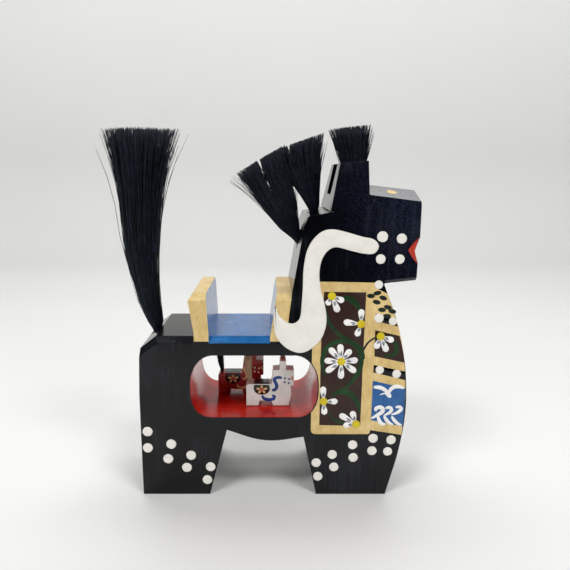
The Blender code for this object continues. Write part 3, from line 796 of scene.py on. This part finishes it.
def strand_tubes(node, paths, radii, material, body):
    """Thin three-sided tubes that stand for a CAD hair node.  The paths are an array of
    strands by samples by 3, in metres."""
    strands, samples, _ = paths.shape
    tangent = np.gradient(paths, axis=1)
    tangent /= np.linalg.norm(tangent, axis=2, keepdims=True) + 1e-12
    first = np.cross(tangent, np.array((0.0, 1.0, 0.0)))
    first /= np.linalg.norm(first, axis=2, keepdims=True) + 1e-12
    second = np.cross(tangent, first)
    taper = np.ones(samples)
    taper[-1] = STRAND_TIP
    reach = radii[:, None, None] * taper[None, :, None]
    corners = []
    for step in range(3):
        angle = 2.0 * math.pi * step / 3.0
        corners.append(paths + (first * math.cos(angle) + second * math.sin(angle)) * reach)
    vertices = np.stack(corners, axis=2).reshape(-1, 3)
    start = (np.arange(strands) * samples * 3)[:, None, None]
    row = (np.arange(samples - 1) * 3)[None, :, None]
    corner = np.arange(3)[None, None, :]
    after = (corner + 1) % 3
    quads = np.stack((start + row + corner, start + row + after, start + row + 3 + after,
                      start + row + 3 + corner), axis=-1).reshape(-1, 4)
    foot = (np.arange(strands) * samples * 3)[:, None] + np.array((2, 1, 0))
    tip = (np.arange(strands) * samples * 3 + (samples - 1) * 3)[:, None] + np.arange(3)
    name = f"{node}_strands"
    mesh = bpy.data.meshes.new(name)
    mesh.from_pydata(vertices.tolist(), [], quads.tolist() + foot.tolist() + tip.tolist())
    mesh.shade_smooth()
    piece = add_piece(name, mesh, (material,), body)
    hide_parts(node)


def bundle_rings(root, sections):
    """A bundle's rings from the hole's floor to the cut ends, as arrays: the middle (x, z), the
    way across to the right edge (x, z) and the half depth along y."""
    mouth, axis, depth, radius = root
    axis = Vector(axis).normalized()
    across = Vector((axis.y, -axis.x))
    mouth = Vector(mouth)
    rings = [(mouth - axis * depth, across * radius, radius), (mouth, across * radius, radius)]
    for left, right, deep in sections:
        left, right = Vector(left), Vector(right)
        rings.append(((left + right) / 2.0, (right - left) / 2.0, deep))
    return [np.array(part) for part in zip(*((tuple(c), tuple(w), d) for c, w, d in rings))]


def along_knots(knots, stations):
    """Points at stations along smooth curves through each strand's knots."""
    levels = knots.shape[1]
    low = np.clip(stations.astype(int), 0, levels - 2)
    t = (stations - low)[..., None]
    rows = np.arange(len(knots))[:, None]
    p1, p2 = knots[rows, low], knots[rows, low + 1]
    p0 = knots[rows, np.maximum(low - 1, 0)]
    p3 = knots[rows, np.minimum(low + 2, levels - 1)]
    return cubic(p1, (p2 - p0) / 2.0, p2, (p3 - p1) / 2.0, t)


def hair_paths(bundle, count, rng, place, stray, samples=10, lock_count=80, lean=0.5,
               fringe=0.045, ragged=0.016, parting=None):
    """Strand paths that fill a bundle.  A strand's place across it is (wide, deep), -1 to 1
    each, and share is 0 at the root and 1 at the tips.  stray is how many strands are loose,
    lean how many of those go right, and fringe how many lie along the outer edges.  ragged is
    for the tips, and parting is (place across, half width) of a slit that opens upwards."""
    centre, spread, depths = bundle_rings(*bundle)
    levels = len(depths)
    share = np.linspace(0.0, 1.0, levels)[None, :]

    # Every strand starts somewhere in the round hole and leans towards its lock
    distance = 0.94 * rng.random(count) ** 0.5
    angle = rng.random(count) * 2.0 * math.pi
    a = distance * np.cos(angle)
    b = distance * np.sin(angle)
    locks = rng.integers(0, lock_count, count)
    lock_distance = rng.random(lock_count) ** 0.5
    lock_angle = rng.random(lock_count) * 2.0 * math.pi
    lock_a = lock_distance * np.cos(lock_angle)
    lock_b = lock_distance * np.sin(lock_angle)
    gather = 0.4 * (rng.random(count) ** 0.7)[:, None] * share ** 1.5
    nearest = np.argmin((a[:, None] - lock_a[None, :]) ** 2 + (b[:, None] - lock_b[None, :]) ** 2,
                        axis=1)
    locks = np.where(rng.random(count) < 0.85, nearest, locks)
    wide = a[:, None] * (1.0 - gather) + lock_a[locks][:, None] * gather
    deep = b[:, None] * (1.0 - gather) + lock_b[locks][:, None] * gather

    # A few strands cross the others, and some lie along the outer edges
    drift = rng.normal(0.0, 0.05, (count, 2))
    crossing = rng.random(count) < 0.05
    drift[crossing] += rng.normal(0.0, 0.5, (int(crossing.sum()), 2))
    wide = wide + drift[:, :1] * share
    deep = deep + drift[:, 1:] * share * 0.6
    outer = rng.random(count) < fringe
    outer_wide = np.where(rng.random(count) < 0.5, -1.0, 1.0) * rng.uniform(0.84, 1.16, count)
    to_fringe = outer[:, None] * share ** 0.7
    wide = wide * (1.0 - to_fringe) + outer_wide[:, None] * to_fringe
    deep = deep * (1.0 - 0.6 * to_fringe)
    if parting is not None:
        across_slit = wide - parting[0]
        opening = parting[1] * np.clip(share * 2.4 - 1.4, 0.0, 1.0)
        wide = wide + np.sign(across_slit) * opening * np.exp(-np.abs(across_slit) * 3.0)

    # Loose strands swing out in a bow.  The others are held inside the bundle
    loose = rng.random(count) < stray
    side = np.where(rng.random(count) < lean, 1.0, -1.0)
    swing = rng.uniform(0.05, 0.75, count)
    loose_wide = side[:, None] * (0.85 * share ** 0.5 + swing[:, None] * share ** 1.3)
    bow = rng.normal(0.0, 0.07, (count, 1))
    loose_wide = loose_wide + bow * np.sin(share * math.pi * 1.6)
    wide = np.where(loose[:, None], loose_wide, wide)
    wide = wide + rng.normal(0.0, 0.012, (count, levels)) * share
    reach = np.sqrt(wide ** 2 + deep ** 2)
    limit = np.where(outer, 1.17, 1.03)[:, None]
    shrink = np.where(reach > limit, limit / np.maximum(reach, 1e-9), 1.0)
    wide = np.where(loose[:, None], wide, wide * shrink)
    deep = np.clip(deep * shrink, -1.0, 1.0)
    x = centre[None, :, 0] + wide * spread[None, :, 0]
    z = centre[None, :, 1] + wide * spread[None, :, 1]
    y = deep * depths[None, :]
    knots = np.stack((x, y, z), axis=-1)

    # The tips are cut unevenly, lock by lock and strand by strand
    lock_tip = rng.normal(0.0, ragged * 0.7, lock_count)
    tip = 1.0 - np.abs(rng.normal(0.0, ragged, count) + lock_tip[locks]) + ragged * 0.5
    tip = np.where(rng.random(count) < 0.05, np.minimum(tip + ragged * 1.2, 1.01), tip)
    tip = np.where(loose, tip - rng.random(count) * 0.12, tip)
    stations = np.linspace(0.0, 1.0, samples)[None, :] ** 0.9 * tip[:, None] * (levels - 1)
    return along_knots(knots, stations) * MM + np.array(place)


# A bundle is a root (the hole's mouth, axis, depth and radius) and its sections from there
# to the cut ends (left point, right point and half depth).
TAIL = (
    ((5.4, 86.8), (-0.26, 0.97), 9.0, 2.3),
    (((0.4, 91.0), (8.8, 91.6), 4.0), ((-5.0, 104.0), (7.8, 104.0), 5.6),
     ((-8.8, 121.0), (7.1, 121.0), 6.8), ((-11.7, 138.0), (7.9, 138.0), 8.2),
     ((-12.3, 160.0), (10.0, 160.0), 9.4), ((-14.2, 179.0), (12.8, 179.0), 11.4),
     ((-17.3, 197.6), (18.0, 197.6), 14.6)),
)
NECK_MANE = (
    ((85.6, 138.9), (-0.64, 0.77), 10.0, 2.3),
    (((80.6, 140.6), (86.1, 147.3), 4.2), ((74.9, 145.4), (85.4, 151.4), 5.0),
     ((65.4, 157.6), (84.2, 161.0), 6.8), ((58.9, 167.1), (80.4, 173.4), 8.2),
     ((53.6, 175.4), (76.6, 188.4), 9.8)),
)
CREST_MANE = (
    ((94.0, 154.0), (-0.14, 0.99), 8.0, 2.3),
    (((90.4, 156.4), (97.0, 156.8), 3.4), ((87.5, 161.2), (97.0, 162.8), 4.4),
     ((81.2, 171.0), (97.0, 173.6), 6.4), ((78.2, 180.6), (97.1, 184.2), 8.0),
     ((75.8, 187.6), (97.2, 195.0), 9.2)),
)
FORELOCK = (
    ((115.9, 167.5), (-0.05, 1.0), 7.0, 2.3),
    (((111.2, 171.6), (120.9, 172.6), 4.2), ((107.8, 181.4), (121.5, 182.0), 5.6),
     ((102.5, 197.4), (122.2, 199.6), 8.0)),
)

# Node, bundle, strand count, seed, stray, lean, ragged and parting
HORSE_BUNDLES = (
    ("tail_hair", TAIL, 1900, 11, 0.014, 0.85, 0.022, (0.62, 0.03)),
    ("neck_mane_hair", NECK_MANE, 1700, 12, 0.013, 0.1, 0.045, (-0.1, 0.06)),
    ("crest_mane_hair", CREST_MANE, 1500, 13, 0.006, 0.8, 0.05, (-0.62, 0.06)),
    ("forelock_hair", FORELOCK, 1000, 14, 0.016, 0.9, 0.045, (0.7, 0.06)),
)
STRAND_RADIUS = 0.17
FOAL_STRAND_RADIUS = 0.075
FOAL_STRANDS = 260


def make_horse_hair():
    for node, bundle, count, seed, stray, lean, ragged, parting in HORSE_BUNDLES:
        rng = np.random.default_rng(seed)
        paths = hair_paths(bundle, count, rng, (HEEL, 0.0, 0.0), stray, lean=lean,
                           ragged=ragged, parting=parting)
        radii = rng.uniform(0.75, 1.25, count) * STRAND_RADIUS * MM
        strand_tubes(node, paths, radii, BLACK_HAIR, "horse")


def colour_bindings():
    """The thread bindings keep their CAD shape, because they are hidden in the holes."""
    for name in ("tail_binding", "neck_mane_binding", "crest_mane_binding", "forelock_binding"):
        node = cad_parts[name]
        node.data.materials.clear()
        node.data.materials.append(THREAD)


# -------- foals

# Places on a foal are in millimetres from its block's rear end and its hooves
FOAL_TAIL = (
    ((2.2, 12.8), (-0.08, 1.0), 2.4, 0.6),
    (((0.9, 14.5), (3.3, 14.5), 1.1), ((-0.4, 19.0), (3.0, 19.0), 1.5),
     ((-0.9, 24.0), (3.0, 24.0), 1.8), ((-0.8, 29.4), (2.9, 29.4), 1.9)),
)
FOAL_FORELOCK = (
    ((20.7, 26.3), (0.0, 1.0), 2.4, 0.6),
    (((19.7, 27.4), (21.7, 27.4), 1.0), ((19.2, 30.2), (22.2, 30.2), 1.4)),
)
FOAL_BACK = 12.8
FOAL_SADDLE = ((4.4, -4.2, 0), (12.9, -4.2, 0), (12.9, 4.2, 0), (4.4, 4.2, 0))
FOAL_CLOTH = ((4.4, 12.3, 0), (12.9, 12.3, 0), (13.3, 9.4), (11.6, 7.2), (8.6, 6.5),
              (5.6, 7.5), (4.3, 9.6))
FOAL_FLOWER = (8.8, 9.5)
FOAL_DOTS = ((21.7, 16.2, 0.6), (24.2, 15.8, 0.6), (21.6, 13.9, 0.6), (23.9, 13.4, 0.6))
FOAL_MOUTH = ((((26.6, 17.4), (25.6, 16.3), (26.6, 15.2)), (0.6, 0.8, 0.6)),)
NECK_REIN = ((20.2, 16.4), (17.8, 16.7), (15.8, 15.6), (16.6, 13.4), (17.2, 11.4),
             (16.2, 9.5), (14.4, 9.2))
WHITE_REINS = (
    (NECK_REIN, (1.5, 1.9, 2.0, 1.8)),
    (((9.0, 6.2), (9.8, 4.4), (12.6, 3.5), (15.2, 4.0), (16.0, 5.4), (14.4, 6.2)),
     (1.2, 2.0, 1.9, 1.2)),
)
RED_REINS = (
    (NECK_REIN, (1.5, 1.8, 1.9, 1.6)),
    (((11.2, 5.8), (12.2, 4.0), (14.4, 3.8), (16.4, 4.6), (16.9, 6.2)), (1.2, 1.9, 1.6, 1.0)),
)


def foal_petals():
    """The five petals of the flower on a foal's saddle cloth."""
    petals = []
    for step in range(5):
        turn = math.radians(90.0 + 72.0 * step)
        reach = Vector((math.cos(turn), math.sin(turn) * 0.8))
        path = [tuple(Vector(FOAL_FLOWER) + reach * distance) for distance in (0.9, 2.1, 3.2)]
        petals.append((path, (0.8, 1.5, 1.2)))
    return petals


def make_foal(body, wood, reins, rein_paint, dot_paint, mouth_paint, hair, slots):
    """One foal: its block with soft edges, saddle, flower, reins, dots, mouth and hair.  hair is
    for the tail and the forelock, and slots is not used."""
    node = f"{body}_block"
    low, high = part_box(node)
    bm = block_copy(node)
    soften(bm, FOAL_SOFTNESS)
    block = new_piece(f"{body}_body", bm, (wood,), body)
    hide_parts(node)

    middle_y = (low.y + high.y) / 2.0
    half = (high.y - low.y) / 2.0

    def on_back(x, y, lift):
        return Vector((low.x + x * MM, middle_y + y * MM, low.z + (FOAL_BACK + lift) * MM))

    paint_piece(f"{body}_saddle", FOAL_BLACK,
                patches((FOAL_SADDLE,), 0.14, on_back, 0.08), body)
    for side, label in SIDES:
        place = side_face(side, half, low.x, low.z, middle_y)
        layers = (
            ("cloth", FOAL_BLACK, patches((FOAL_CLOTH,), 0.12, place)),
            ("petals", CREAM, strokes(foal_petals(), 0.16, place, 0.1)),
            ("flower_centre", LIP, dots(((*FOAL_FLOWER, 0.9),), 0.25, place, 0.12)),
            ("reins", rein_paint, strokes(reins, 0.16, place)),
            ("dots", dot_paint, dots(FOAL_DOTS, 0.14, place)),
            ("mouth", mouth_paint, strokes(FOAL_MOUTH, 0.12, place)),
        )
        for name, material, draw in layers:
            paint_piece(f"{body}_{name}_{label}", material, draw, body)
    bundles = (("tail", FOAL_TAIL, 21), ("forelock", FOAL_FORELOCK, 22))
    for (part, bundle, seed), material, slot in zip(bundles, hair, slots[1:]):
        rng = np.random.default_rng(seed)
        paths = hair_paths(bundle, FOAL_STRANDS, rng, (low.x, middle_y, low.z), 0.01,
                           samples=8, lock_count=9, fringe=0.05)
        radii = rng.uniform(0.8, 1.2, FOAL_STRANDS) * FOAL_STRAND_RADIUS * MM
        strand_tubes(f"{body}_{part}", paths, radii, material, body)


def make_foals():
    make_foal("white_foal", FOAL_WHITE, WHITE_REINS, FOAL_BLUE, FOAL_BLUE, LIP,
              (BLOND_HAIR, CHESTNUT_HAIR), ("white_painted_wood", "blond_hair", "chestnut_hair"))
    make_foal("red_foal", FOAL_RED, RED_REINS, CREAM, WHITE, CREAM,
              (BLACK_HAIR, BLACK_HAIR), ("red_painted_wood", "black_horsehair", "black_horsehair"))


# -------- stage, light and camera

# Floor and backdrop, in metres
SHEET_HALF_WIDTH = 1.4
FLOOR_FRONT = -1.4
SWEEP_FRONT = -0.34
SWEEP_TOP = 0.62
BEND_START = 0.5
BEND_RADIUS = 0.22
BEND_STEPS = 16


def stage_sheet(name, profile, material):
    """A sheet that follows a profile of (y, z) points."""
    bm = bmesh.new()
    columns = [[bm.verts.new((x, y, z)) for y, z in profile]
               for x in np.linspace(-SHEET_HALF_WIDTH, SHEET_HALF_WIDTH, 9)]
    for left, right in zip(columns, columns[1:]):
        for index in range(len(profile) - 1):
            bm.faces.new((left[index], right[index], right[index + 1], left[index + 1]))
    mesh = smooth_mesh(name, bm)
    mesh.materials.append(material)
    sheet = new_object(name, mesh)
    return sheet


def make_stage():
    """A sweep that bends up behind the horse, and a front floor that isn't seen reflected."""
    paper = stage_material()
    profile = [(y, 0.0) for y in np.linspace(SWEEP_FRONT, BEND_START, 8)]
    for step in range(1, BEND_STEPS + 1):
        angle = math.pi / 2.0 * step / BEND_STEPS
        profile.append((BEND_START + BEND_RADIUS * math.sin(angle),
                        BEND_RADIUS * (1.0 - math.cos(angle))))
    profile.append((BEND_START + BEND_RADIUS, SWEEP_TOP))
    stage_sheet("studio_sweep", profile, paper)
    under = -0.0004
    front = stage_sheet("studio_floor_front", [(FLOOR_FRONT, under), (SWEEP_FRONT, under)], paper)
    front.visible_glossy = False


# Softboxes: name, azimuth from the front towards the muzzle, elevation, distance and the
# height that it is measured from, size and power.  They all face the lit height.
LIT_HEIGHT = 0.08
SOFTBOXES = (
    ("high_left", -35.0, 57.0, 1.75, LIT_HEIGHT, (0.5, 0.45), 8.4),
    ("high_right", 35.0, 57.0, 1.75, LIT_HEIGHT, (0.5, 0.45), 8.4),
    ("low_left", -42.0, 12.0, 1.7, LIT_HEIGHT, (0.7, 0.4), 6.4),
    ("low_right", 42.0, 12.0, 1.7, LIT_HEIGHT, (0.7, 0.4), 6.4),
    ("top_back", 180.0, 71.0, 1.6, LIT_HEIGHT, (1.9, 0.5), 11.0),
    ("back", 180.0, 41.0, 1.3, 0.16, (1.5, 0.3), 5.0),
)
WORLD_GLOW = (0.03, 0.03, 0.032, 1.0)
WORLD_SEEN = (0.78, 0.78, 0.77, 1.0)


def make_lights():
    for name, azimuth, elevation, reach, height, size, power in SOFTBOXES:
        turn, rise = math.radians(azimuth), math.radians(elevation)
        away = Vector((math.cos(rise) * math.sin(turn), -math.cos(rise) * math.cos(turn),
                       math.sin(rise)))
        light = bpy.data.lights.new(f"{name}_softbox", "AREA")
        light.shape = "RECTANGLE"
        light.size, light.size_y = size
        light.energy = power
        lamp = new_object(f"{name}_softbox", light)
        lamp.location = Vector((0.0, 0.0, height)) + away * reach
        towards = Vector((0.0, 0.0, LIT_HEIGHT)) - lamp.location
        lamp.rotation_euler = towards.to_track_quat("-Z", "Y").to_euler()


def make_world():
    """A dim glow all round, and a pale backdrop past the sheets."""
    world = bpy.data.worlds.new("studio")
    world.use_nodes = True
    bpy.context.scene.world = world
    tree = world.node_tree
    glow = tree.nodes["Background"]
    glow.inputs["Color"].default_value = WORLD_GLOW
    seen = tree.nodes.new("ShaderNodeBackground")
    seen.inputs["Color"].default_value = WORLD_SEEN
    path = tree.nodes.new("ShaderNodeLightPath")
    mix = tree.nodes.new("ShaderNodeMixShader")
    tree.links.new(path.outputs["Is Camera Ray"], mix.inputs["Fac"])
    tree.links.new(glow.outputs["Background"], mix.inputs[1])
    tree.links.new(seen.outputs["Background"], mix.inputs[2])
    tree.links.new(mix.outputs["Shader"], tree.nodes["World Output"].inputs["Surface"])


CAMERA_PLACE = (0.0055, -0.3165, 0.1737)
CAMERA_TILT = math.radians(79.08)
CAMERA_SHIFT = 0.0263


def make_camera():
    camera = bpy.data.cameras.new("camera")
    camera.lens = 36.0
    camera.sensor_width = 36.0
    camera.shift_x = CAMERA_SHIFT
    camera.clip_start = 0.01
    camera.clip_end = 20.0
    holder = new_object("camera", camera)
    holder.location = CAMERA_PLACE
    holder.rotation_euler = (CAMERA_TILT, 0.0, 0.0)
    bpy.context.scene.camera = holder


def main():
    bpy.context.scene.view_settings.view_transform = "Standard"
    make_camera()
    make_stage()
    make_lights()
    make_world()
    make_horse_block()
    for side, label in SIDES:
        paint_side(side, label)
        forehead_spot(side, label)
    make_horse_hair()
    colour_bindings()
    make_foals()


main()
